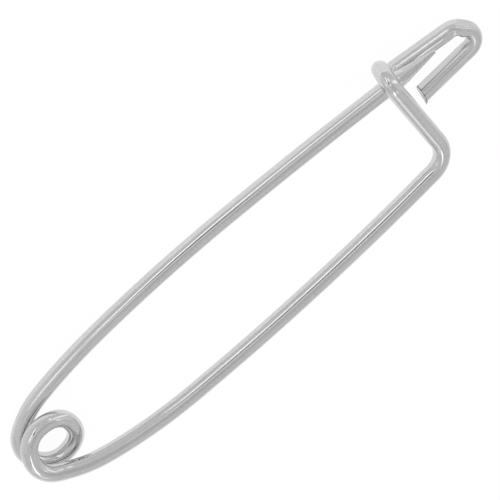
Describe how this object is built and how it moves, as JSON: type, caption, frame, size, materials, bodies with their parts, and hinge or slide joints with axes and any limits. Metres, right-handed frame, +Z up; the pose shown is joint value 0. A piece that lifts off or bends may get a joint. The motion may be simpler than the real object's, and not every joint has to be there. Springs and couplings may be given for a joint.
{
  "type": "large wire safety pin",
  "caption": "Large safety pin bent from one round stainless spring wire, with a coil, a sharpened arm and a looped wire catch.",
  "frame": {"origin": "where the middle line of the spring coil meets the flat surface that the closed pin lies on", "axes": "+X from the coil to the catch, +Y towards the sharpened arm's side, +Z up from the surface"},
  "size_m": [0.1101, 0.0269, 0.0111],
  "materials": {
    "pin_wire": "bright drawn stainless spring wire, ground to a point",
    "coil_wire": "bright drawn stainless spring wire",
    "guard_wire": "bright drawn stainless spring wire, sheared end"
  },
  "bodies": {
    "guard": {"guard_wire": "guard_wire", "spring_coil": "coil_wire"},
    "arm": {"pin_arm": "pin_wire"}
  },
  "joints": [
    {"name": "arm_squeeze", "type": "hinge", "parent": "guard", "child": "arm", "pos_m": [0, 0, 0], "axis": [-0.0069, -0.1329, 0.9911], "range_deg": [-8, 0], "stiffness_Nm_per_rad": 10}
  ]
}
